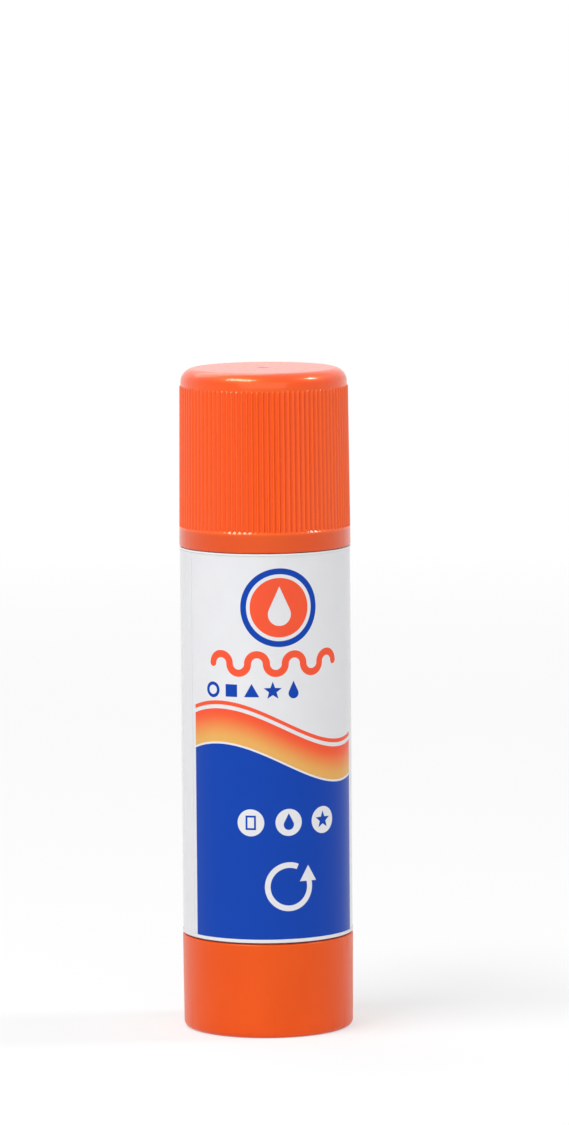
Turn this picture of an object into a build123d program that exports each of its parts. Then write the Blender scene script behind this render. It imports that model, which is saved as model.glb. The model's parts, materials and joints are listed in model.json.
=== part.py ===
from build123d import *
import math
import os

# A twist-up glue stick, standing on its knob. Millimetres, +Z up the stick, origin at the
# centre of the face that it stands on, -Y the front of the label.
# Bottom to top: the knob turns the spindle, whose left-hand double thread lifts the carrier
# and the glue in the barrel. The cap pushes over the barrel's neck.

# Clearances shared by the pieces
overrun = 1.0            # how far a cutting tool runs past what it cuts
turning_gap = 0.2        # radial room between the knob and the barrel's spigot
face_gap = 0.25          # axial room between faces that turn past each other
sliding_gap = 0.3        # radial room between the barrel's bore and what moves in it
seat_gap = 0.02          # room between pieces that are fixed to each other

# Barrel
bore_radius = 10.5
neck_wall = 1.1
neck_height = 22.0
neck_edge = 0.35
body_height = 59.05      # the part of the barrel that carries the label
lip_chamfer = 0.12
lower_lip_height = 0.55
upper_lip_height = 0.3
spigot_wall = 1.1
spigot_height = 8.9
spigot_chamfer = 0.4
keyway_width = 1.5
keyway_depth = 0.35
keyway_count = 4
keyway_spare = 0.5       # over the key with the glue wound right up
grip_rise = 0.1          # ring on the neck that the cap grips
grip_height = 1.2
grip_slope = 0.4
grip_place = 3.6         # up from the shoulder
snap_rise = 0.35         # ring on the spigot that holds the knob on
snap_height = 1.2
snap_slope = 0.4
snap_place = 4.2         # down from the body

# Label
label_thickness = 0.08
label_overlap = 3.5      # width of the strip where the wrap laps over itself
label_seam_degrees = -75.0   # round from the front of the label, minus to the left

# Knob
knob_height = 14.4
knob_taper = 0.12        # how much smaller its radius is at the foot
knob_foot_fillet = 0.9
knob_top_fillet = 0.3
foot_ring_width = 1.4    # flat ring that the stick stands on
foot_recess = 1.2
foot_recess_fillet = 0.4
floor_thickness = 1.6
boss_wall = 1.5
boss_reach = 3.05        # how far the boss stands up inside the spigot
knob_rib_width = 1.0
knob_rib_height = 2.2
knob_rib_count = 6
groove_play = 0.25       # axial room on each side of the snap ring
groove_slope = 0.2
arrow_place_share = 0.65     # of the foot recess's radius
arrow_width = 1.1
arrow_head_width = 2.9
arrow_head_degrees = 20.0
arrow_sweep_degrees = 104.0
arrow_relief = 0.3
arrow_count = 2
gate_radius = 1.6        # shallow dimple in the middle of the foot
gate_depth = 0.4

# Spindle and its thread
thread_lead = 5.5        # rise for one turn of the knob
thread_starts = 2
knob_turns = 11          # from wound down to wound right up
thread_crest_radius = 2.65
thread_depth = 0.75
thread_crest_share = 0.27    # of the distance from one thread to the next
thread_flank_share = 0.2
thread_play = 0.18
spindle_tip_chamfer = 0.8
hex_sides = 6
hex_across_flats = 5.2
flange_thickness = 1.4
flange_rim_height = 1.0
flange_rim_width = 0.9
shaft_length = 2.2       # plain shaft between the flange and the thread
shaft_fillet = 0.6

# Carrier
hub_length = 12.0
hub_wall = 1.7
cup_wall = 0.9
cup_depth = 7.0
cup_floor = 1.2
cup_lead_in = 0.35
skirt_length = 14.6      # below the cup's floor
web_width = 1.0
web_height = 3.6
web_count = 4
key_play = 0.15          # room on each side of a key in its keyway

# Glue
glue_gap = 0.25          # between the glue and the bore
glue_edge = 0.9
glue_dome = 0.25
glue_core_play = 0.25    # between the glue and the spindle's thread
glue_core_spare = 1.0    # room over the spindle's tip
glue_over_core = 8.0

# Cap
cap_wall = 1.2
cap_clearance = 0.2      # radial room over the neck
cap_seat_gap = 0.1       # between the cap's rim and the barrel's shoulder
cap_headroom = 3.6       # between the barrel's mouth and the cap's ceiling
cap_top_thickness = 1.4
cap_taper = 0.25         # how much smaller its radius is at the top
cap_top_fillet = 2.1
cap_rim_fillet = 0.2
cap_inner_taper = 0.1
cap_inner_fillet = 0.6
cap_lead_in = 0.3
band_height = 2.9        # smooth band under the flutes
flute_count = 100
flute_radius = 0.34
flute_depth = 0.24
flute_top_margin = 2.6   # from the flutes' ends up to the top face
seal_wall = 0.8          # ring under the cap's top that closes the barrel's mouth
seal_reach = 0.5         # how far the ring goes into the mouth
seal_over_glue = 0.8
seal_fillet = 0.25

# Radii worked out from the sizes
neck_radius = bore_radius + neck_wall
cap_mouth_radius = neck_radius + cap_clearance
stick_radius = cap_mouth_radius + cap_wall
label_outer_radius = stick_radius - label_thickness
label_inner_radius = label_outer_radius - label_thickness
label_seat_radius = label_inner_radius - seat_gap
spigot_radius = bore_radius + spigot_wall
snap_radius = spigot_radius + snap_rise
keyway_radius = bore_radius + keyway_depth
knob_foot_radius = stick_radius - knob_taper
knob_lip_radius = spigot_radius + turning_gap
knob_groove_radius = snap_radius + turning_gap
foot_recess_radius = knob_foot_radius - knob_foot_fillet - foot_ring_width
arrow_radius = foot_recess_radius * arrow_place_share
hex_corner_radius = hex_across_flats / math.sqrt(3)
boss_radius = hex_corner_radius + boss_wall
flange_radius = bore_radius - sliding_gap
thread_root_radius = thread_crest_radius - thread_depth
cup_radius = bore_radius - sliding_gap
cup_inner_radius = cup_radius - cup_wall
glue_radius = bore_radius - glue_gap
glue_core_radius = thread_crest_radius + glue_core_play
seal_radius = bore_radius - sliding_gap

# Heights worked out from the sizes
body_bottom = knob_height + face_gap
shoulder = body_bottom + body_height
mouth = shoulder + neck_height
spigot_bottom = body_bottom - spigot_height
snap_middle = body_bottom - snap_place
label_bottom = body_bottom + lower_lip_height
label_top = shoulder - upper_lip_height
knob_floor_top = foot_recess + floor_thickness
boss_top = spigot_bottom + boss_reach
boss_height = boss_top - knob_floor_top
flange_bottom = boss_top + seat_gap
flange_top = flange_bottom + flange_thickness
thread_bottom = flange_top + shaft_length
skirt_bottom = flange_top + flange_rim_height + face_gap
cup_floor_bottom = skirt_bottom + skirt_length
cup_floor_top = cup_floor_bottom + cup_floor
cup_rim = cup_floor_top + cup_depth
hub_bottom = cup_floor_top - hub_length
glue_travel = knob_turns * thread_lead
keyway_top = cup_floor_top + glue_travel + keyway_spare
glue_bottom = cup_floor_top + seat_gap
glue_top = mouth - seal_reach - seal_over_glue
glue_core_top = glue_top - glue_over_core
spindle_top = glue_core_top - glue_core_spare
cap_bottom = shoulder + cap_seat_gap
cap_ceiling = mouth + cap_headroom
cap_top = cap_ceiling + cap_top_thickness
cap_height = cap_top - cap_bottom


def cone(bottom_radius, top_radius, bottom, top):
    """A straight or tapered cylinder on the stick's axis."""
    if bottom_radius == top_radius:
        solid = Solid.make_cylinder(bottom_radius, top - bottom)
    else:
        solid = Solid.make_cone(bottom_radius, top_radius, top - bottom)
    return Part() + solid.moved(Location((0, 0, bottom)))


def disc(radius, bottom, top):
    return cone(radius, radius, bottom, top)


def tube(outer_radius, inner_radius, bottom, top):
    return disc(outer_radius, bottom, top) - disc(inner_radius, bottom - overrun, top + overrun)


def bar(length, width, bottom, top):
    """A bar from the stick's axis out along +X."""
    box = Box(length, width, top - bottom, align=(Align.MIN, Align.CENTER, Align.MIN))
    return box.moved(Location((0, 0, bottom)))


def ring_edges(part, radius, height):
    """The circles of one radius at one height, for fillets and chamfers."""
    near = seat_gap / 2
    circles = part.edges().filter_by(GeomType.CIRCLE)
    level = [edge for edge in circles if abs(edge.center().Z - height) < near]
    return [edge for edge in level if abs(edge.radius - radius) < near]


def around(count, shape):
    """Copies of a shape, evenly spaced around the stick's axis."""
    return [Rot(0, 0, 360 * number / count) * shape for number in range(count)]


def on_circle(radius, degrees):
    turn = math.radians(degrees)
    return (radius * math.cos(turn), radius * math.sin(turn))


def snap_ring(radius, rise, slope, bottom, top):
    """A ring with sloping sides that stands out of a cylinder, and reaches as far into it."""
    outline = Polyline(
        (radius - rise, bottom),
        (radius, bottom),
        (radius + rise, bottom + slope),
        (radius + rise, top - slope),
        (radius, top),
        (radius - rise, top),
        close=True,
    )
    return revolve(Plane.XZ * make_face(outline), Axis.Z)


def thread_section(play):
    """The thread cut square to its axis: one lobe for each start, larger all round by play."""
    lobe = 360 / thread_starts
    crest = lobe * (thread_crest_share + 2 * play * thread_starts / thread_lead)
    flank = lobe * thread_flank_share
    crest_radius = thread_crest_radius + play
    root_radius = thread_root_radius + play
    edges = []
    for number in range(thread_starts):
        middle = number * lobe
        crest_end = middle + crest / 2
        next_crest = middle + lobe - crest / 2
        root_start = crest_end + flank
        root_end = next_crest - flank
        edges.append(
            ThreePointArc(
                on_circle(crest_radius, middle - crest / 2),
                on_circle(crest_radius, middle),
                on_circle(crest_radius, crest_end),
            )
        )
        edges.append(Line(on_circle(crest_radius, crest_end), on_circle(root_radius, root_start)))
        edges.append(
            ThreePointArc(
                on_circle(root_radius, root_start),
                on_circle(root_radius, (root_start + root_end) / 2),
                on_circle(root_radius, root_end),
            )
        )
        edges.append(Line(on_circle(root_radius, root_end), on_circle(crest_radius, next_crest)))
    return Wire(edges)


def thread(bottom, top, play):
    """A left-hand thread between two heights, in step with every other thread made here."""
    length = top - bottom
    twist = 360 * length / thread_lead
    section = thread_section(play)
    right_hand = Solid.extrude_linear_with_rotation(section, (0, 0, 0), (0, 0, length), twist)
    left_hand = Part() + right_hand.mirror(Plane.XZ)
    return Pos(0, 0, bottom) * Rot(0, 0, -360 * bottom / thread_lead) * left_hand


def make_barrel():
    body = disc(label_seat_radius, body_bottom, shoulder)
    lower_lip = disc(stick_radius, body_bottom, label_bottom - seat_gap)
    upper_lip = disc(stick_radius, label_top + seat_gap, shoulder)
    neck = disc(neck_radius, shoulder - overrun, mouth)
    spigot = disc(spigot_radius, spigot_bottom, body_bottom + overrun)
    grip_bottom = shoulder + grip_place
    grip = snap_ring(neck_radius, grip_rise, grip_slope, grip_bottom, grip_bottom + grip_height)
    snap_bottom = snap_middle - snap_height / 2
    snap = snap_ring(spigot_radius, snap_rise, snap_slope, snap_bottom, snap_bottom + snap_height)
    barrel = body + lower_lip + upper_lip + neck + spigot + grip + snap
    barrel -= disc(bore_radius, spigot_bottom - overrun, mouth + overrun)
    barrel = chamfer(ring_edges(barrel, stick_radius, shoulder), lip_chamfer)
    barrel = chamfer(ring_edges(barrel, stick_radius, body_bottom), lip_chamfer)
    barrel = chamfer(ring_edges(barrel, spigot_radius, spigot_bottom), spigot_chamfer)
    mouth_edges = ring_edges(barrel, neck_radius, mouth) + ring_edges(barrel, bore_radius, mouth)
    barrel = fillet(mouth_edges, neck_edge)
    keyway = bar(keyway_radius, keyway_width, spigot_bottom - overrun, keyway_top)
    return barrel - around(keyway_count, keyway)


def make_label():
    wrap = tube(label_outer_radius, label_inner_radius, label_bottom, label_top)
    lap = tube(stick_radius, label_outer_radius, label_bottom, label_top)
    strip = bar(stick_radius + overrun, label_overlap, label_bottom, label_top)
    strip = Rot(0, 0, label_seam_degrees - 90) * strip
    return wrap + (lap & strip)


def make_arrow():
    """A raised curved arrow under the knob. It points the way that winds the glue up."""
    tip = arrow_sweep_degrees / 2
    neck = tip - arrow_head_degrees
    outer = arrow_radius + arrow_width / 2
    inner = arrow_radius - arrow_width / 2
    shaft = Wire(
        [
            ThreePointArc(on_circle(outer, -tip), on_circle(outer, 0), on_circle(outer, neck)),
            Line(on_circle(outer, neck), on_circle(inner, neck)),
            ThreePointArc(on_circle(inner, neck), on_circle(inner, 0), on_circle(inner, -tip)),
            Line(on_circle(inner, -tip), on_circle(outer, -tip)),
        ]
    )
    head = Polyline(
        on_circle(arrow_radius + arrow_head_width / 2, neck),
        on_circle(arrow_radius, tip),
        on_circle(arrow_radius - arrow_head_width / 2, neck),
        close=True,
    )
    faces = [make_face(shaft), make_face(head)]
    raised = Part() + [extrude(face, arrow_relief + seat_gap) for face in faces]
    return raised.moved(Location((0, 0, foot_recess - arrow_relief)))


def make_knob():
    knob = cone(knob_foot_radius, stick_radius, 0, knob_height)
    knob = fillet(ring_edges(knob, knob_foot_radius, 0), knob_foot_fillet)
    knob = fillet(ring_edges(knob, stick_radius, knob_height), knob_top_fillet)
    knob -= disc(knob_lip_radius, knob_floor_top, knob_height + overrun)
    groove_reach = snap_height / 2 + groove_play
    knob -= snap_ring(
        knob_lip_radius,
        knob_groove_radius - knob_lip_radius,
        groove_slope,
        snap_middle - groove_reach,
        snap_middle + groove_reach,
    )
    recess = disc(foot_recess_radius, -overrun, foot_recess)
    recess = fillet(ring_edges(recess, foot_recess_radius, foot_recess), foot_recess_fillet)
    knob -= recess
    knob -= disc(gate_radius, foot_recess - overrun, foot_recess + gate_depth)
    knob += around(arrow_count, make_arrow())
    rib_bottom = knob_floor_top - seat_gap
    rib_top = knob_floor_top + knob_rib_height
    rib = bar(knob_lip_radius + seat_gap, knob_rib_width, rib_bottom, rib_top)
    knob += around(knob_rib_count, rib)
    knob += disc(boss_radius, rib_bottom, boss_top)
    socket_face = RegularPolygon(hex_across_flats / 2 + seat_gap, hex_sides, major_radius=False)
    socket = extrude(socket_face, boss_height + overrun)
    return knob - socket.moved(Location((0, 0, knob_floor_top)))


def make_spindle():
    plug_face = RegularPolygon(hex_across_flats / 2, hex_sides, major_radius=False)
    plug = extrude(plug_face, boss_height + flange_thickness / 2)
    plug = plug.moved(Location((0, 0, knob_floor_top + seat_gap)))
    flange = disc(flange_radius, flange_bottom, flange_top)
    rim_top = flange_top + flange_rim_height
    rim = tube(flange_radius, flange_radius - flange_rim_width, flange_bottom, rim_top)
    shaft = disc(thread_crest_radius, flange_bottom, thread_bottom)
    spindle = flange + rim + shaft
    spindle = fillet(ring_edges(spindle, thread_crest_radius, flange_top), shaft_fillet)
    blank_radius = thread_crest_radius + thread_play
    blank = disc(blank_radius, thread_bottom - seat_gap, spindle_top)
    blank = chamfer(ring_edges(blank, blank_radius, spindle_top), spindle_tip_chamfer)
    screw = thread(thread_bottom - seat_gap, spindle_top + overrun, 0) & blank
    return spindle + plug + screw


def make_carrier():
    cup = disc(cup_radius, cup_floor_bottom, cup_rim)
    cup -= disc(cup_inner_radius, cup_floor_top, cup_rim + overrun)
    cup = chamfer(ring_edges(cup, cup_inner_radius, cup_rim), cup_lead_in)
    skirt = tube(cup_radius, cup_inner_radius, skirt_bottom, cup_floor_top)
    hub = disc(thread_crest_radius + hub_wall, hub_bottom, cup_floor_top)
    web_length = cup_radius - cup_wall / 2
    web = bar(web_length, web_width, cup_floor_bottom - web_height, cup_floor_top)
    key_radius = keyway_radius - key_play
    key = bar(key_radius, keyway_width - 2 * key_play, skirt_bottom, cup_floor_top)
    key -= disc(cup_radius - cup_wall / 2, skirt_bottom - overrun, cup_floor_top + overrun)
    carrier = cup + skirt + hub + around(web_count, web) + around(keyway_count, key)
    return carrier - thread(hub_bottom - overrun, cup_floor_top + overrun, thread_play)


def make_glue():
    shoulder_height = glue_top - glue_dome
    column = disc(glue_radius, cup_rim + seat_gap, shoulder_height)
    column = fillet(ring_edges(column, glue_radius, shoulder_height), glue_edge)
    dome_radius = glue_radius - glue_edge
    dome_base = shoulder_height - glue_dome
    dome_curve = (dome_radius**2 + glue_dome**2) / (2 * glue_dome)
    dome_outline = Wire(
        [
            Line((0, dome_base), (0, glue_top)),
            RadiusArc((0, glue_top), (dome_radius, shoulder_height), dome_curve),
            Line((dome_radius, shoulder_height), (dome_radius, dome_base)),
            Line((dome_radius, dome_base), (0, dome_base)),
        ]
    )
    dome = revolve(Plane.XZ * make_face(dome_outline), Axis.Z)
    plug = disc(cup_inner_radius - seat_gap, glue_bottom, cup_rim + overrun)
    core = disc(glue_core_radius, glue_bottom - overrun, glue_core_top)
    return column + dome + plug - core


def make_flute():
    """The tool for one flute: a thin rod that leans in with the cap's taper."""
    flute_bottom = cap_bottom + band_height
    flute_length = cap_height - band_height - flute_top_margin
    lean = math.degrees(math.atan2(cap_taper, cap_height))
    surface_radius = stick_radius - cap_taper * band_height / cap_height
    rod_place = surface_radius - flute_depth + flute_radius
    rod = Part() + Solid.make_cylinder(flute_radius, flute_length)
    return Pos(rod_place, 0, flute_bottom) * Rot(0, -lean, 0) * rod


def make_cap():
    cap_top_radius = stick_radius - cap_taper
    cap = cone(stick_radius, cap_top_radius, cap_bottom, cap_top)
    cap = fillet(ring_edges(cap, cap_top_radius, cap_top), cap_top_fillet)
    cap = fillet(ring_edges(cap, stick_radius, cap_bottom), cap_rim_fillet)
    ceiling_radius = cap_mouth_radius - cap_inner_taper
    hollow = cone(cap_mouth_radius, ceiling_radius, cap_bottom, cap_ceiling)
    hollow = fillet(ring_edges(hollow, ceiling_radius, cap_ceiling), cap_inner_fillet)
    lead_in_top = cap_bottom + cap_lead_in
    lead_in = cone(cap_mouth_radius + cap_lead_in, cap_mouth_radius, cap_bottom, lead_in_top)
    cap = cap - hollow - lead_in
    seal_bottom = mouth - seal_reach
    seal = tube(seal_radius, seal_radius - seal_wall, seal_bottom, cap_ceiling + seat_gap)
    cap += fillet(ring_edges(seal, seal_radius, seal_bottom), seal_fillet)
    return cap - around(flute_count, make_flute())


def main():
    os.makedirs("parts", exist_ok=True)
    pieces = {
        "barrel": make_barrel,
        "label": make_label,
        "knob": make_knob,
        "spindle": make_spindle,
        "carrier": make_carrier,
        "glue": make_glue,
        "cap": make_cap,
    }
    for name, make in pieces.items():
        export_step(make(), f"parts/{name}.step")


main()
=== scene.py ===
import json
import math
import bpy
from mathutils import Matrix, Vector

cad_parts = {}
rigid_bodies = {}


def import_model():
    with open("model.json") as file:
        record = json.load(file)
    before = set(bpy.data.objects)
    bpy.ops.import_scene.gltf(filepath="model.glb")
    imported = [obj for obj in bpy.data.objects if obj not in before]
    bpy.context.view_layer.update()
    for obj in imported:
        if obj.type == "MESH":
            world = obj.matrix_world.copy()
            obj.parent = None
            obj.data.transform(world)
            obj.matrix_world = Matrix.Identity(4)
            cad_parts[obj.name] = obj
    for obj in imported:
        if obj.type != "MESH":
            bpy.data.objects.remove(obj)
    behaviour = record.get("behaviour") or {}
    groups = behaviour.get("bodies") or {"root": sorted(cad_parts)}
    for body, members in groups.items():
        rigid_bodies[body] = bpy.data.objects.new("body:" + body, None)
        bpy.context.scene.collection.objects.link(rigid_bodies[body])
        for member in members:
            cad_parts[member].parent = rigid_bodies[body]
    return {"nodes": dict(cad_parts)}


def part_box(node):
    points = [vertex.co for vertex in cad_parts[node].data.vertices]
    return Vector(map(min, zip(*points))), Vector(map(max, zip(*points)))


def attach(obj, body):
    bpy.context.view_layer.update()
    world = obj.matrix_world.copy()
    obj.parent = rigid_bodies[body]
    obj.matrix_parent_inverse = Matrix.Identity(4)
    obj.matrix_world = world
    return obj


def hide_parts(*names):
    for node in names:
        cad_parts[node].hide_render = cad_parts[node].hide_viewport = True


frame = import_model()
for leftover in [item for item in bpy.data.objects if item.name in ("Cube", "Light", "Camera")]:
    bpy.data.objects.remove(leftover)
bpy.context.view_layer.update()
mm = 0.001
print("stage 1: frame loaded")


# Small helpers for modelling, with lengths in mm

def deselectAll():
    if bpy.context.mode != "OBJECT":
        bpy.ops.object.mode_set(mode="OBJECT")
    bpy.ops.object.select_all(action="DESELECT")


def selectOnly(piece):
    deselectAll()
    piece.select_set(True)
    bpy.context.view_layer.objects.active = piece


def heightsOf(node):
    low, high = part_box(node)
    return low.z / mm, high.z / mm


def radiusOf(point):
    return math.hypot(point.x, point.y)


def corner(radius, height, fillet, start, end, steps=6):
    # points of a rounded corner, from one angle to the other
    angles = [math.radians(start + (end - start) * i / steps) for i in range(steps + 1)]
    return [(radius + fillet * math.cos(a), height + fillet * math.sin(a)) for a in angles]


def drawOutline(name, points):
    # one vertex, extruded from point to point in the XZ plane
    deselectAll()
    radius, height = points[0]
    bpy.ops.mesh.primitive_plane_add(size=mm, location=(radius * mm, 0, height * mm))
    piece = bpy.context.object
    piece.name = piece.data.name = name
    bpy.ops.object.transform_apply(location=True, rotation=False, scale=False)
    bpy.ops.object.mode_set(mode="EDIT")
    bpy.ops.mesh.select_mode(type="VERT")
    bpy.ops.mesh.select_all(action="SELECT")
    bpy.ops.mesh.merge(type="CENTER")
    for nextRadius, nextHeight in points[1:]:
        step = ((nextRadius - radius) * mm, 0, (nextHeight - height) * mm)
        bpy.ops.mesh.extrude_region_move(TRANSFORM_OT_translate={"value": step})
        radius, height = nextRadius, nextHeight
    return piece


def turned(name, points, columns):
    # the outline spun once round the stick's axis
    piece = drawOutline(name, points)
    bpy.ops.mesh.select_all(action="SELECT")
    bpy.ops.mesh.spin(steps=columns, angle=2 * math.pi, center=(0, 0, 0), axis=(0, 0, 1))
    bpy.ops.mesh.select_all(action="SELECT")
    bpy.ops.mesh.remove_doubles(threshold=0.000001)
    bpy.ops.mesh.normals_make_consistent(inside=False)
    bpy.ops.object.mode_set(mode="OBJECT")
    return piece


def selectVertices(piece, wanted):
    # leaves edit mode on, with only the wanted vertices selected
    selectOnly(piece)
    bpy.ops.object.mode_set(mode="EDIT")
    bpy.ops.mesh.select_all(action="DESELECT")
    bpy.ops.object.mode_set(mode="OBJECT")
    for vertex in piece.data.vertices:
        vertex.select = wanted(vertex.co / mm)
    bpy.ops.object.mode_set(mode="EDIT")


def scaleRound(factor):
    bpy.ops.transform.resize(value=(factor, factor, 1), center_override=(0, 0, 0))


def smoothed(piece, degrees):
    selectOnly(piece)
    bpy.ops.object.shade_smooth_by_angle(angle=math.radians(degrees))


def placed(piece, body, node, material):
    piece.data.materials.clear()
    piece.data.materials.append(material)
    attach(piece, body)
    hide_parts(node)


# Small helpers for materials

patchLook = {"roughness": 0.55, "low": 0.3, "high": 0.7}   # the noise from low to high fills 0 to 1


def newMaterial(name, sockets):
    material = bpy.data.materials.new(name)
    material.use_nodes = True
    shader = material.node_tree.nodes["Principled BSDF"]
    for socket, value in sockets.items():
        shader.inputs[socket].default_value = value
    return material, shader


def addNode(material, kind, inputs=None, **properties):
    node = material.node_tree.nodes.new("ShaderNode" + kind)
    for name, value in properties.items():
        setattr(node, name, value)
    for socket, value in (inputs or {}).items():
        if isinstance(value, bpy.types.NodeSocket):
            material.node_tree.links.new(value, node.inputs[socket])
        else:
            node.inputs[socket].default_value = value
    return node


def calc(material, operation, *values):
    return addNode(material, "Math", dict(enumerate(values)), operation=operation).outputs[0]


def spread(material, value, fromLow, fromHigh, toLow, toHigh):
    inputs = dict(enumerate((value, fromLow, fromHigh, toLow, toHigh)))
    return addNode(material, "MapRange", inputs, clamp=True).outputs[0]


def noise(material, place, size, detail, stretch=(1, 1, 1)):
    # size is that of its patches, and a stretch under 1 draws them out
    place = addNode(material, "Mapping", {"Vector": place, "Scale": stretch}).outputs[0]
    inputs = {"Vector": place, "Scale": 1 / (size * mm), "Detail": detail}
    inputs["Roughness"] = patchLook["roughness"]
    patches = addNode(material, "TexNoise", inputs).outputs["Fac"]
    return spread(material, patches, patchLook["low"], patchLook["high"], 0, 1)


def mixColours(material, share, first, second):
    inputs = {0: share, 6: first, 7: second}
    return addNode(material, "Mix", inputs, data_type="RGBA").outputs[2]


def mixNumbers(material, share, first, second):
    return addNode(material, "Mix", {0: share, 2: first, 3: second}).outputs[0]


def opaque(colour):
    return (*colour, 1)


def bumped(material, shader, height, strength, distance):
    inputs = {"Height": height, "Strength": strength, "Distance": distance * mm}
    bump = addNode(material, "Bump", inputs)
    material.node_tree.links.new(bump.outputs[0], shader.inputs["Normal"])


# Moulded plastic, for the cap, the barrel, the knob and the pieces inside

mouldingLook = {
    "driftDetail": 3, "grainDetail": 2, "scuffDetail": 4, "scuffStretch": 0.12,
    "scuffsFrom": 0.62, "scuffsFull": 0.9, "bumpDistance": 0.02,
}


def mouldedPlastic(name, look):
    # colour drifts along the way the plastic flowed, and a fine grain breaks the gloss
    habits = mouldingLook
    material, shader = newMaterial(name, look["sockets"])
    links = material.node_tree.links
    place = addNode(material, "TexCoord").outputs["Object"]
    drift = noise(material, place, look["driftSize"], habits["driftDetail"], (1, 1, look["flow"]))
    grain = noise(material, place, look["grainSize"], habits["grainDetail"])
    stretch = (1, 1, habits["scuffStretch"])
    scuffs = noise(material, place, look["scuffSize"], habits["scuffDetail"], stretch)
    colour = mixColours(material, drift, opaque(look["colour"]), opaque(look["shade"]))
    # painted shade in the grooves and in the band below them
    if "grooveShade" in look:
        colour = paintedGrooveAndBandShade(material, place, colour, look["grooveShade"], look["band"])
    links.new(colour, shader.inputs["Base Color"])
    gloss = mixNumbers(material, grain, *look["roughness"])
    worn = spread(material, scuffs, habits["scuffsFrom"], habits["scuffsFull"], 0, look["scuffs"])
    links.new(calc(material, "ADD", gloss, worn), shader.inputs["Roughness"])
    height = calc(material, "ADD", grain, calc(material, "MULTIPLY", drift, look["waviness"]))
    bumped(material, shader, height, look["bump"], habits["bumpDistance"])
    return material


def paintedGrooveAndBandShade(material, place, colour, grooveShade, band):
    # painted shade: darker in the grooves, under the wall's own radius at each height, and in the band
    # below them
    x, y, z = addNode(material, "SeparateXYZ", {0: place}).outputs
    squares = calc(material, "ADD", calc(material, "MULTIPLY", x, x), calc(material, "MULTIPLY", y, y))
    radius = calc(material, "SQRT", squares)
    wall = spread(material, z, *[length * mm for length in grooveShade["heights"] + grooveShade["radii"]])
    depth = calc(material, "SUBTRACT", wall, radius)
    share = spread(material, depth, grooveShade["from"] * mm, grooveShade["depth"] * mm, 0, grooveShade["share"])
    colour = mixColours(material, share, colour, opaque(grooveShade["colour"]))
    # painted shade: the band below the flutes is darker still
    top = band["top"] * mm
    share = spread(material, z, top - band["softEdge"] * mm, top, 1, 0)
    return mixColours(material, share, colour, opaque(band["colour"]))


# Cap: fluted shell with a smooth band, a rounded top and a sealing ring inside

capLook = {
    "radius": 13.0, "taper": 0.25, "topFillet": 2.1, "rimFillet": 0.2,
    "gateRadius": 0.8, "gateDepth": 0.1, "gateSlope": 0.15,
    "mouthRadius": 11.8, "leadIn": 0.3, "ceilingRadius": 11.7, "topThickness": 1.4, "innerFillet": 0.6,
    "sealRadius": 10.2, "sealWall": 0.8, "sealFillet": 0.25, "sealDrop": 5.5,
    "bandHeight": 2.9, "fluteTopMargin": 2.6, "softEdge": 0.07,
    "ledge": 0.31, "ribDome": 0.2, "ribStand": 0.15,   # how each groove ends below, and each rib above
    "flutes": 100, "fluteDepths": [0.24, 0.23, 0.195, 0.12, 0.02, 0.0],   # from groove's middle to crest's
    "outsideOver": 12.2, "smoothing": 32,   # the radius past which a point is on the outside; degrees
    "plastic": {
        "sockets": {
            "Specular IOR Level": 0.8, "Specular Tint": (1, 0.62, 0.08, 1), "IOR": 1.49,
            "Coat Weight": 0.62, "Coat Roughness": 0.1, "Coat IOR": 1.5,
        },
        "colour": (0.92, 0.088, 0.0015), "shade": (0.89, 0.079, 0.001),
        "roughness": (0.36, 0.44), "driftSize": 9, "flow": 0.3, "grainSize": 0.16,
        "scuffSize": 1.1, "scuffs": 0.12, "waviness": 0.6, "bump": 0.12,
        # painted shade in the grooves, growing with the depth under the wall
        "grooveShade": {
            "heights": (73.8, 100.7), "radii": (13.0, 12.75),   # of the wall, at its foot and its top
            "from": 0.02, "depth": 0.22, "share": 0.55, "colour": (0.78, 0.028, 0.001),
        },
        "band": {"top": 76.7, "softEdge": 0.4, "colour": (0.7, 0.046, 0.001)},   # painted shade, darker in the band at the foot
    },
}


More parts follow.
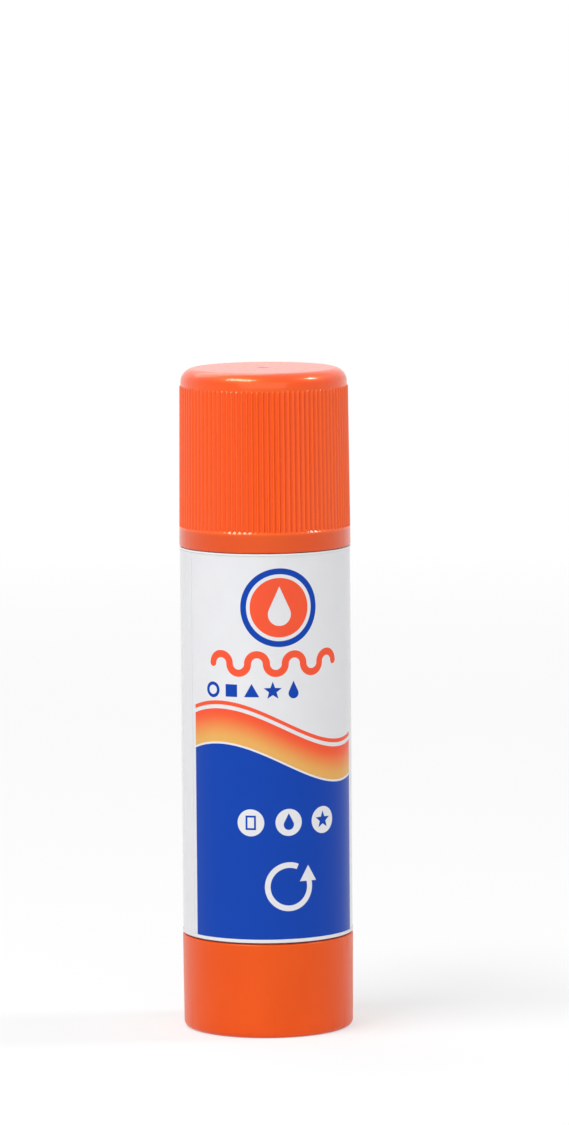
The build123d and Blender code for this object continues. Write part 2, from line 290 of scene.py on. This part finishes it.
def makeCap():
    look = capLook
    bottom, top = heightsOf("cap")

    def wallRadius(height):
        return look["radius"] - look["taper"] * (height - bottom) / (top - bottom)

    ceiling = top - look["topThickness"]
    sealBottom = top - look["sealDrop"]
    sealInner = look["sealRadius"] - look["sealWall"]
    fluteBottom = bottom + look["bandHeight"]
    fluteTop = top - look["fluteTopMargin"]
    grooveTop = fluteTop - look["ribDome"]
    grooveFloor = fluteBottom + look["ledge"]
    middle = (grooveTop + grooveFloor) / 2
    soft, stand, fillet = look["softEdge"], look["ribStand"], look["topFillet"]
    rim, inner, seal = look["rimFillet"], look["innerFillet"], look["sealFillet"]
    mouth, leadIn = look["mouthRadius"], look["leadIn"]
    flat = wallRadius(top - fillet) - stand - fillet
    gate, gateSlope = look["gateRadius"], look["gateSlope"]
    gateFloor = top - look["gateDepth"]

    points = [(0, gateFloor), (gate - gateSlope, gateFloor)]
    points += [(gate, top - look["gateDepth"] / 2), (gate + gateSlope, top)]
    points += [(gate + 2 * gateSlope, top), (flat - soft, top)]   # these keep the flat's shading flat
    points += corner(flat, top - fillet, fillet, 90, 0, 10)
    for height in (fluteTop + soft, fluteTop):
        points.append((wallRadius(height) - stand, height))
    grooveHeights = (grooveTop, grooveTop - soft, middle, grooveFloor + soft, grooveFloor)
    for height in (*grooveHeights, fluteBottom, fluteBottom - soft, bottom + rim + soft):
        points.append((wallRadius(height), height))
    points += corner(wallRadius(bottom + rim) - rim, bottom + rim, rim, 0, -90, 4)
    points += [(mouth + leadIn, bottom), (mouth, bottom + leadIn)]
    points += corner(look["ceilingRadius"] - inner, ceiling - inner, inner, 0, 90, 4)
    points += [(look["sealRadius"], ceiling)]
    points += corner(look["sealRadius"] - seal, sealBottom + seal, seal, 0, -90, 3)
    points += corner(sealInner + seal, sealBottom + seal, seal, -90, -180, 3)
    points += [(sealInner, ceiling), (0, ceiling)]
    perFlute = 2 * (len(look["fluteDepths"]) - 1)
    columns = look["flutes"] * perFlute
    piece = turned("capShell", points, columns)

    def pressed(stepFromMiddle, low, high):
        def wanted(point):
            if not low < point.z < high or radiusOf(point) < look["outsideOver"]:
                return False
            column = round(math.atan2(point.y, point.x) / (2 * math.pi) * columns) % perFlute
            return min(column, perFlute - column) == stepFromMiddle
        return wanted

    slope = look["ledge"] / look["fluteDepths"][0]
    for step, depth in enumerate(look["fluteDepths"][:-1]):
        selectVertices(piece, pressed(step, fluteBottom + soft, fluteTop - soft))
        scaleRound(1 - depth / wallRadius(middle))
        selectVertices(piece, pressed(step, fluteBottom + soft, middle - soft))
        drop = slope * (look["fluteDepths"][0] - depth)   # so that the ledges have one slope
        bpy.ops.transform.translate(value=(0, 0, -drop * mm))
    smoothed(piece, look["smoothing"])
    placed(piece, "cap", "cap", mouldedPlastic("orangeCapPlastic", look["plastic"]))


makeCap()
print("stage 2: cap made")


# Barrel: tube with lips round the label, a neck with its grip ring, a spigot with its snap ring

barrelLook = {
    "bore": 10.5, "outside": 11.6, "stick": 13.0, "labelSeat": 12.82, "chamfer": 0.12, "mouthEdge": 0.35,
    "bodyBottom": 14.65, "lowerLipTop": 15.18, "upperLipBottom": 73.42, "shoulder": 73.7, "lipEdge": 0.03,
    "snapRing": (9.85, 11.05, 11.95), "gripRing": (77.3, 78.5, 11.7),   # low, high, radius
    "ringSlope": 0.4, "spigotChamfer": 0.4,
    "keyways": 4, "keywayTop": 88.27, "keywayRadius": 10.85, "keywayHalfDegrees": 4.6, "keywayEdge": 0.03,
    "boreUnder": 10.6, "columns": 240, "smoothing": 35,   # the radius up to which a point is in the bore
    "plastic": {
        "sockets": {"Specular IOR Level": 0.35, "IOR": 1.49},
        "colour": (0.775, 0.78, 0.79), "shade": (0.75, 0.76, 0.775),
        "roughness": (0.3, 0.4), "driftSize": 8, "flow": 0.25, "grainSize": 0.18,
        "scuffSize": 1.0, "scuffs": 0.1, "waviness": 0.5, "bump": 0.1,
    },
}


def makeBarrel():
    look = barrelLook
    bottom, mouth = heightsOf("barrel")
    bore, outside, stick, seat = look["bore"], look["outside"], look["stick"], look["labelSeat"]
    chamfer, mouthEdge, lipEdge = look["chamfer"], look["mouthEdge"], look["lipEdge"]
    spigot = look["spigotChamfer"]
    lowerLip, upperLip, keywayTop = look["lowerLipTop"], look["upperLipBottom"], look["keywayTop"]

    def ring(low, high, radius):
        slope = look["ringSlope"]
        return [(outside, low), (radius, low + slope), (radius, high - slope), (outside, high)]

    points = [(bore, bottom), (outside - spigot, bottom), (outside, bottom + spigot)]
    points += ring(*look["snapRing"])
    points += [(outside, look["bodyBottom"])]
    points += corner(stick - chamfer, look["bodyBottom"] + chamfer, chamfer, -90, 0, 3)
    points += [(stick, lowerLip - lipEdge), (stick - lipEdge, lowerLip), (seat, lowerLip)]
    points += [(seat, upperLip), (stick - lipEdge, upperLip), (stick, upperLip + lipEdge)]
    points += corner(stick - chamfer, look["shoulder"] - chamfer, chamfer, 0, 90, 3)
    points += [(outside, look["shoulder"])]
    points += ring(*look["gripRing"])
    points += corner(outside - mouthEdge, mouth - mouthEdge, mouthEdge, 0, 90, 5)
    points += corner(bore + mouthEdge, mouth - mouthEdge, mouthEdge, 90, 180, 5)
    points += [(bore, keywayTop + look["keywayEdge"]), (bore, keywayTop), (bore, bottom)]
    piece = turned("barrelTube", points, look["columns"])

    def inKeyway(point):
        apart = 360 / look["keyways"]
        turn = math.degrees(math.atan2(point.y, point.x)) % apart
        near = min(turn, apart - turn) < look["keywayHalfDegrees"]
        return near and radiusOf(point) < look["boreUnder"] and point.z < keywayTop + look["keywayEdge"] / 2

    selectVertices(piece, inKeyway)
    scaleRound(look["keywayRadius"] / bore)
    smoothed(piece, look["smoothing"])
    placed(piece, "barrel", "barrel", mouldedPlastic("whiteBarrelPlastic", look["plastic"]))


makeBarrel()
print("stage 3: barrel made")


# Label: a strip of printed film wound once round the barrel, its end lapped over its start.
# Places on the print are mm round from the front, minus to the left, and mm up from the floor.

labelLook = {
    "innerRadius": 12.84, "thickness": 0.08, "nearEnd": 0.02, "smoothing": 30,
    "lapCentre": -75, "lapDegrees": 15.5, "stepOutDegrees": 3,   # the lap's middle is told from the front
    "strips": 240, "stepOutStrips": 4, "lapStrips": 12,
    "print": {
        "white": (0.76, 0.765, 0.785), "blue": (0.0, 0.05, 0.4), "orange": (0.89, 0.095, 0.035),
        "gold": (0.78, 0.42, 0.11),
        "roundRadius": 12.92, "crispness": 25, "bareStrips": [(-23, -14.4), (15.1, 23)],
        "backPanel": {"height": 26.5, "halfWidth": 9.0, "halfHeight": 6.0},
        "wave": {
            "height": 44.4, "rise": 3.2, "crest": -9.0, "waves": 2,
            "blueTop": -2.75, "ribbon": (-2.45, 2.6), "fade": (-2.3, 2.4), "line": (3.2, 3.8),   # over it
        },
        "emblem": {
            "centre": (0.3, 65.6), "ringRadius": 5.5, "ringWidth": 0.9, "discRadius": 4.5,
            "dropCentre": (0.3, 64.6), "dropRadius": 1.75, "dropHeight": 4.2,
        },
        "bead": {"centre": (-0.3, 57.1), "radius": 1.43, "rings": 7, "width": 1.1},
        "row": {
            "ring": {"centre": (-10.4, 53.0), "radius": 0.95, "width": 0.5},
            "box": {"centre": (-7.2, 53.0), "halfWidth": 0.95, "halfHeight": 0.95},
            "triangle": {"centre": (-4.0, 52.75), "size": 1.35},
            "star": {"centre": (-0.8, 53.0), "radius": 1.45},
            "drop": {"centre": (2.4, 52.6), "radius": 0.8, "height": 1.9},
        },
        "badges": [(-4.3, 33.0), (1.5, 33.0), (7.3, 33.0)], "badgeRadius": 2.05,
        "badgeSheet": {"centre": (-4.3, 33.0), "halfWidth": 0.8, "halfHeight": 1.1},
        "badgeSheetInside": {"centre": (-4.3, 33.0), "halfWidth": 0.5, "halfHeight": 0.8},
        "badgeDrop": {"centre": (1.5, 32.65), "radius": 0.8, "height": 1.75},
        "badgeStar": {"centre": (7.3, 33.0), "radius": 1.4},
        "starPoints": 5, "starNotch": 0.42,
        "turnMark": {
            "centre": (1.5, 23.2), "radius": 3.3, "width": 0.85, "gap": (20, 66),   # degrees
            "headDegrees": 22, "headLift": 0.3, "headSize": 1.6,
        },
        "sockets": {"Specular IOR Level": 0.15, "IOR": 1.5},
        "roughness": (0.17, 0.24), "fineSize": 0.2, "fineDetail": 2, "fineShare": 0.03,
        "mottleSize": 5, "mottleDetail": 3, "mottleShade": 0.97,
        "rippleSize": 4.5, "rippleDetail": 2, "rippleStretch": 0.5, "waviness": 0.35,
        "bump": 0.12, "bumpDistance": 0.05,
    },
}


def turnEnd(degrees, factor):
    # the strip's free end goes on round, and outwards by the factor
    bpy.ops.mesh.extrude_region_move(TRANSFORM_OT_translate={"value": (0, 0, 0)})
    bpy.ops.transform.rotate(value=-math.radians(degrees), orient_axis="Z", center_override=(0, 0, 0))
    if factor != 1:
        scaleRound(factor)


def makeLabel():
    look = labelLook
    bottom, top = heightsOf("label")
    inner = look["innerRadius"]
    start = look["lapCentre"] - look["lapDegrees"] / 2 - 90
    piece = drawOutline("labelWrap", [(inner, bottom), (inner, top)])
    bpy.ops.object.mode_set(mode="OBJECT")
    piece.data.transform(Matrix.Rotation(math.radians(start), 4, "Z"))
    bpy.ops.object.mode_set(mode="EDIT")
    bpy.ops.mesh.select_all(action="SELECT")
    plain = 360 - look["stepOutDegrees"]
    bpy.ops.mesh.spin(steps=look["strips"], angle=math.radians(plain), center=(0, 0, 0), axis=(0, 0, 1))
    end = math.radians(start + plain)

    def atEnd(point):
        return abs(point.x - inner * math.cos(end)) + abs(point.y - inner * math.sin(end)) < look["nearEnd"]

    selectVertices(piece, atEnd)
    steps = look["stepOutStrips"]
    for number in range(steps):   # the film climbs over its own start
        radius = inner + look["thickness"] * number / steps
        turnEnd(look["stepOutDegrees"] / steps, 1 + look["thickness"] / steps / radius)
    for number in range(look["lapStrips"]):
        turnEnd(look["lapDegrees"] / look["lapStrips"], 1)
    bpy.ops.mesh.select_all(action="SELECT")
    bpy.ops.mesh.normals_make_consistent(inside=False)
    selectOnly(piece)
    bpy.ops.object.modifier_add(type="SOLIDIFY")
    piece.modifiers[-1].thickness = look["thickness"] * mm
    piece.modifiers[-1].offset = 1
    bpy.ops.object.modifier_apply(modifier=piece.modifiers[-1].name)
    smoothed(piece, look["smoothing"])
    placed(piece, "barrel", "label", printedFilm(look["print"]))


def printedFilm(look):
    material, shader = newMaterial("printedLabelFilm", look["sockets"])
    links = material.node_tree.links
    place = addNode(material, "TexCoord").outputs["Object"]
    x, y, z = addNode(material, "SeparateXYZ", {0: place}).outputs

    def do(operation, *values):
        return calc(material, operation, *values)

    def plus(first, second):
        return do("ADD", first, second)

    def minus(first, second):
        return do("SUBTRACT", first, second)

    def times(first, second):
        return do("MULTIPLY", first, second)

    def unsigned(value):
        return do("ABSOLUTE", value)

    def larger(first, second):
        return do("MAXIMUM", first, second)

    def inside(distance):   # 1 where the distance in mm is negative, with a crisp edge
        inputs = {0: times(distance, -look["crispness"]), 1: 0.5}
        return addNode(material, "Math", inputs, operation="ADD", use_clamp=True).outputs[0]

    def between(value, low, high):
        return do("MINIMUM", inside(minus(low, value)), inside(minus(value, high)))

    def fromCentre(centre):
        return minus(u, centre[0]), minus(v, centre[1])

    def away(centre):   # distance from a point of the print
        across, up = fromCentre(centre)
        return do("SQRT", plus(do("POWER", unsigned(across), 2), do("POWER", unsigned(up), 2)))

    def disc(centre, radius):
        return inside(minus(away(centre), radius))

    def ring(centre, radius, width):
        return inside(minus(unsigned(minus(away(centre), radius)), width / 2))

    def box(centre, halfWidth, halfHeight):
        across, up = fromCentre(centre)
        return inside(larger(minus(unsigned(across), halfWidth), minus(unsigned(up), halfHeight)))

    def triangle(centre, size):   # two sides at 60 degrees over a flat foot
        across, up = fromCentre(centre)
        side = plus(times(unsigned(across), 0.866), times(up, 0.5))
        return inside(minus(larger(side, times(up, -1)), size / 2))

    def drop(centre, radius, height):   # a disc with a point that is tangent to it
        across, up = fromCentre(centre)
        lean = math.asin(radius / height)
        side = plus(times(unsigned(across), math.cos(lean)), times(up, math.sin(lean)))
        cone = larger(minus(side, radius), minus(radius * math.sin(lean), up))
        return larger(inside(cone), disc(centre, radius))

    def star(centre, radius):   # half of one of its points, folded round
        fold = 2 * math.pi / look["starPoints"]
        notch = radius * look["starNotch"]
        across, up = fromCentre(centre)
        turns = do("DIVIDE", do("ARCTAN2", across, up), fold)
        turn = times(unsigned(minus(turns, do("ROUND", turns))), fold)
        along = times(away(centre), do("COSINE", turn))
        aside = times(away(centre), do("SINE", turn))
        normalAlong = notch * math.sin(fold / 2)
        normalAside = radius - notch * math.cos(fold / 2)
        length = math.hypot(normalAlong, normalAside)
        overAlong = times(minus(along, radius), normalAlong / length)
        return inside(plus(overAlong, times(aside, normalAside / length)))

    def bead(centre, radius, rings, width):   # half rings by turns above and below a line, with round ends
        along, up = fromCentre(centre)
        above = do("GREATER_THAN", up, 0)
        shifted = do("DIVIDE", plus(along, times(above, 2 * radius)), 4 * radius)
        across = times(minus(shifted, do("ROUND", shifted)), 4 * radius)
        fromRing = minus(do("SQRT", plus(times(across, across), times(up, up))), radius)
        line = inside(minus(unsigned(fromRing), width / 2))
        reach = plus((rings - 1) * radius, times(above, 2 * radius))
        line = times(line, do("LESS_THAN", unsigned(along), reach))
        for side in (-1, 1):
            line = larger(line, disc((centre[0] + side * rings * radius, centre[1]), width / 2))
        return line

    def turnMark(centre, radius, width, gap, headDegrees, headLift, headSize):
        # a ring with a gap, and an arrow's head at one end of it
        across, up = fromCentre(centre)
        angle = do("ARCTAN2", up, across)
        gapStart, gapEnd = math.radians(gap[0]), math.radians(gap[1])
        inGap = times(do("GREATER_THAN", angle, gapStart), do("LESS_THAN", angle, gapEnd))
        headTurn = math.radians(headDegrees)
        head = (centre[0] + radius * math.cos(headTurn), centre[1] + radius * math.sin(headTurn) + headLift)
        return larger(times(ring(centre, radius, width), minus(1, inGap)), triangle(head, headSize))

    turn = do("ARCTAN2", x, times(y, -1))
    u = times(turn, look["roundRadius"])
    v = times(z, 1 / mm)
    wave, emblem, row, panel = look["wave"], look["emblem"], look["row"], look["backPanel"]
    waveTurn = times(minus(u, wave["crest"]), wave["waves"] / look["roundRadius"])
    fromWave = minus(v, plus(times(do("COSINE", waveTurn), wave["rise"]), wave["height"]))
    inputs = {0: fromWave, 1: wave["fade"][0], 2: wave["fade"][1]}
    fade = addNode(material, "MapRange", inputs, interpolation_type="SMOOTHSTEP").outputs[0]
    ribbon = mixColours(material, fade, opaque(look["gold"]), opaque(look["orange"]))

    inks = [   # each layer of print over the last
        ("blue", inside(minus(fromWave, wave["blueTop"]))),
        (ribbon, between(fromWave, *wave["ribbon"])),
        ("orange", between(fromWave, *wave["line"])),
        ("blue", ring(emblem["centre"], emblem["ringRadius"], emblem["ringWidth"])),
        ("orange", disc(emblem["centre"], emblem["discRadius"])),
        ("white", drop(emblem["dropCentre"], emblem["dropRadius"], emblem["dropHeight"])),
        ("orange", bead(**look["bead"])),
        ("blue", ring(**row["ring"])),
        ("blue", box(**row["box"])),
        ("blue", triangle(**row["triangle"])),
        ("blue", star(**row["star"])),
        ("blue", drop(**row["drop"])),
    ]
    for badge in look["badges"]:
        inks.append(("white", disc(badge, look["badgeRadius"])))
    inks += [
        ("blue", box(**look["badgeSheet"])),
        ("white", box(**look["badgeSheetInside"])),
        ("blue", drop(**look["badgeDrop"])),
        ("blue", star(**look["badgeStar"])),
        ("white", turnMark(**look["turnMark"])),
    ]
    fromBack = unsigned(minus(unsigned(u), math.pi * look["roundRadius"]))
    fromPanel = unsigned(minus(v, panel["height"]))
    outOfPanel = larger(minus(fromBack, panel["halfWidth"]), minus(fromPanel, panel["halfHeight"]))
    inks.append(("white", inside(outOfPanel)))
    for low, high in look["bareStrips"]:
        inks.append(("white", between(u, low, high)))

    colour = opaque(look["white"])
    for ink, mask in inks:
        colour = mixColours(material, mask, colour, opaque(look[ink]) if ink in look else ink)
    mottle = noise(material, place, look["mottleSize"], look["mottleDetail"])
    shade = spread(material, mottle, 0, 1, look["mottleShade"], 1)
    colour = addNode(material, "VectorMath", {0: colour, 3: shade}, operation="SCALE").outputs[0]
    links.new(colour, shader.inputs["Base Color"])
    fine = noise(material, place, look["fineSize"], look["fineDetail"])
    links.new(mixNumbers(material, fine, *look["roughness"]), shader.inputs["Roughness"])
    ripple = noise(material, place, look["rippleSize"], look["rippleDetail"], (1, 1, look["rippleStretch"]))
    height = plus(times(ripple, look["waviness"]), times(fine, look["fineShare"]))
    bumped(material, shader, height, look["bump"], look["bumpDistance"])
    return material


makeLabel()
print("stage 4: label made")


# Glue: a waxy column in the carrier's cup, a little uneven on top

glueLook = {
    "radius": 10.25, "edge": 0.9, "dome": 0.25, "domeRings": 10, "sideHeights": (88, 80, 70, 60, 50, 40),
    "cupRadius": 9.28, "cupTop": 34.29, "coreRadius": 2.9, "coreTop": 86.4, "columns": 120, "smoothing": 40,
    "unevenness": 0.035, "unevenOver": 87.4, "unevenWithin": 9.95,   # how much, over what height and radius
    "evened": 0.5, "timesEvened": 2, "seed": 4,
    "sockets": {
        "Specular IOR Level": 0.3, "IOR": 1.45,
        "Subsurface Weight": 0.35, "Subsurface Scale": 0.0025,   # metres
    },
    "colour": (0.82, 0.81, 0.755), "shade": (0.79, 0.775, 0.71), "cloudSize": 4, "cloudDetail": 4,
    "roughness": (0.38, 0.55), "dragSize": 0.5, "dragDetail": 3, "dragStretch": 0.04, "dragShare": 0.8,
    "grainSize": 0.25, "grainDetail": 2, "grainShare": 0.4, "bump": 0.3, "bumpDistance": 0.03,
}


def makeGlue():
    look = glueLook
    bottom, top = heightsOf("glue")
    radius, edge, cupTop, coreTop = look["radius"], look["edge"], look["cupTop"], look["coreTop"]
    points = [(0, top)]
    for number in range(1, look["domeRings"]):
        share = number / look["domeRings"]
        points.append(((radius - edge) * share, top - look["dome"] * share ** 2))
    points += corner(radius - edge, top - look["dome"] - edge, edge, 90, 0, 8)
    points += [(radius, height) for height in look["sideHeights"]]
    points += [(radius, cupTop), (look["cupRadius"], cupTop), (look["cupRadius"], bottom)]
    points += [(look["coreRadius"], bottom), (look["coreRadius"], coreTop), (0, coreTop)]
    piece = turned("glueColumn", points, look["columns"])

    def onTop(point):
        return point.z > look["unevenOver"] and radiusOf(point) < look["unevenWithin"]

    selectVertices(piece, onTop)
    bpy.ops.transform.vertex_random(offset=look["unevenness"] * mm, uniform=0, normal=0, seed=look["seed"])
    bpy.ops.mesh.vertices_smooth(factor=look["evened"], repeat=look["timesEvened"])
    smoothed(piece, look["smoothing"])
    placed(piece, "carrier", "glue", waxyGlue())


def waxyGlue():
    look = glueLook
    material, shader = newMaterial("waxyGlue", look["sockets"])
    links = material.node_tree.links
    place = addNode(material, "TexCoord").outputs["Object"]
    cloud = noise(material, place, look["cloudSize"], look["cloudDetail"])
    stretch = (1, 1, look["dragStretch"])   # the bore leaves marks along the glue
    drag = noise(material, place, look["dragSize"], look["dragDetail"], stretch)
    grain = noise(material, place, look["grainSize"], look["grainDetail"])
    colour = mixColours(material, cloud, opaque(look["colour"]), opaque(look["shade"]))
    links.new(colour, shader.inputs["Base Color"])
    links.new(mixNumbers(material, drag, *look["roughness"]), shader.inputs["Roughness"])
    drawn = calc(material, "MULTIPLY", drag, look["dragShare"])
    height = calc(material, "ADD", drawn, calc(material, "MULTIPLY", grain, look["grainShare"]))
    bumped(material, shader, height, look["bump"], look["bumpDistance"])
    return material


makeGlue()
print("stage 5: glue made")


# Knob, spindle and carrier keep their solids and get their plastics

knobLook = {
    "sockets": {
        "Specular IOR Level": 0.55, "Specular Tint": (1, 0.62, 0.12, 1), "IOR": 1.49,
        "Coat Weight": 0.25, "Coat Roughness": 0.2, "Coat IOR": 1.5,
    },
    # painted shade: a darker orange than the cap's, for less light at the foot
    "colour": (0.8, 0.072, 0.003), "shade": (0.765, 0.064, 0.002),
    "roughness": (0.38, 0.46), "driftSize": 7, "flow": 0.5, "grainSize": 0.17,
    "scuffSize": 0.9, "scuffs": 0.16, "waviness": 0.6, "bump": 0.14,
}

innerLook = {
    "sockets": {
        "Specular IOR Level": 0.4, "IOR": 1.49,
        "Subsurface Weight": 0.2, "Subsurface Scale": 0.001,   # metres
    },
    "colour": (0.79, 0.79, 0.765), "shade": (0.75, 0.75, 0.72),
    "roughness": (0.4, 0.52), "driftSize": 5, "flow": 0.4, "grainSize": 0.15,
    "scuffSize": 0.8, "scuffs": 0.1, "waviness": 0.5, "bump": 0.12,
}


def paintNodes():
    plastics = {"knob": mouldedPlastic("orangeKnobPlastic", knobLook)}
    plastics["spindle"] = plastics["carrier"] = mouldedPlastic("naturalInnerPlastic", innerLook)
    for node, plastic in plastics.items():
        frame["nodes"][node].data.materials.clear()
        frame["nodes"][node].data.materials.append(plastic)


paintNodes()
print("stage 6: knob, spindle and carrier finished")


# Floor, light and camera, with lengths in metres

stageLook = {
    "floorSize": 60, "floorColour": (0.86, 0.86, 0.86), "worldLight": 0.34,
    "nearWhite": 0.55, "whiteFrom": 0.15, "whiteAt": 0.65,   # the floor's share of plain white, and where
}


def shownToCamera(material):
    # 1 for rays that show the background: straight, mirrored or seen through
    path = addNode(material, "LightPath").outputs
    seen = calc(material, "MAXIMUM", path["Is Camera Ray"], path["Is Glossy Ray"])
    return calc(material, "MAXIMUM", seen, path["Is Transmission Ray"])


def makeFloor():
    look = stageLook
    deselectAll()
    bpy.ops.mesh.primitive_plane_add(size=look["floorSize"], location=(0, 0, 0))
    floor = bpy.context.object
    floor.name = "paleFloor"
    material = bpy.data.materials.new("paleFloorPaper")
    material.use_nodes = True
    nodes, links = material.node_tree.nodes, material.node_tree.links
    nodes.remove(nodes["Principled BSDF"])
    place = addNode(material, "TexCoord").outputs["Object"]
    away = addNode(material, "VectorMath", {0: place}, operation="LENGTH").outputs["Value"]
    fade = spread(material, away, look["whiteFrom"], look["whiteAt"], look["nearWhite"], 1)
    share = calc(material, "MULTIPLY", fade, shownToCamera(material))
    paper = addNode(material, "BsdfDiffuse", {"Color": opaque(look["floorColour"])}).outputs[0]
    white = addNode(material, "Emission", {"Color": (1, 1, 1, 1), "Strength": 1}).outputs[0]
    mixed = addNode(material, "MixShader", {0: share, 1: paper, 2: white}).outputs[0]
    links.new(mixed, nodes["Material Output"].inputs["Surface"])
    floor.data.materials.append(material)


def makeWorld():
    world = bpy.data.worlds.new("softStudio")
    world.use_nodes = True
    bpy.context.scene.world = world
    seen = spread(world, shownToCamera(world), 0, 1, stageLook["worldLight"], 1)
    background = world.node_tree.nodes["Background"]
    background.inputs["Color"].default_value = (1, 1, 1, 1)
    world.node_tree.links.new(seen, background.inputs["Strength"])


aimHeight = 0.05   # the lamps point at the middle of the stick
softBoxes = {   # azimuth from the front, minus to the left, and elevation, both in degrees
    "keyLight": {"azimuth": -60, "elevation": 62, "distance": 0.9, "size": (0.45, 0.25), "power": 4.9},
    "fillLight": {"azimuth": -9, "elevation": 25, "distance": 1.2, "size": (1.5, 1.0), "power": 4.9},
    "sideLight": {"azimuth": 88, "elevation": 50, "distance": 0.9, "size": (0.17, 0.15), "power": 2.0},
    "backLight": {"azimuth": -160, "elevation": 45, "distance": 1.1, "size": (0.8, 0.5), "power": 1.7},
}


def makeLights():
    for name, look in softBoxes.items():
        turn, lift = math.radians(look["azimuth"]), math.radians(look["elevation"])
        away = look["distance"]
        toRight = away * math.sin(turn) * math.cos(lift)
        toBack = -away * math.cos(turn) * math.cos(lift)
        place = (toRight, toBack, aimHeight + away * math.sin(lift))
        deselectAll()
        bpy.ops.object.light_add(type="AREA", location=place, rotation=(math.pi / 2 - lift, 0, turn))
        light = bpy.context.object
        light.name = name
        light.data.shape = "RECTANGLE"
        light.data.size, light.data.size_y = look["size"]
        light.data.energy = look["power"]


cameraLook = {
    "distance": 1.0305, "height": 0.1873, "azimuth": -8, "pan": 0.164, "tilt": 6.44, "roll": -0.45,
    "lens": 218.6, "sensorWidth": 36, "clipStart": 0.01, "clipEnd": 100,
}


def makeCamera():
    look = cameraLook
    turn = math.radians(look["azimuth"])
    away = look["distance"]
    place = Matrix.Translation((away * math.sin(turn), -away * math.cos(turn), look["height"]))
    heading = Matrix.Rotation(turn - math.radians(look["pan"]), 4, "Z")
    tilt = Matrix.Rotation(math.radians(90 - look["tilt"]), 4, "X")
    roll = Matrix.Rotation(math.radians(look["roll"]), 4, "Z")
    bpy.ops.object.camera_add()
    camera = bpy.context.object
    camera.name = "photoView"
    camera.matrix_world = place @ heading @ tilt @ roll
    camera.data.sensor_width = look["sensorWidth"]
    camera.data.lens = look["lens"]
    camera.data.clip_start = look["clipStart"]
    camera.data.clip_end = look["clipEnd"]
    bpy.context.scene.camera = camera


makeFloor()
makeWorld()
makeLights()
makeCamera()
bpy.context.scene.view_settings.view_transform = "Standard"
print("stage 7: floor, light and camera made")
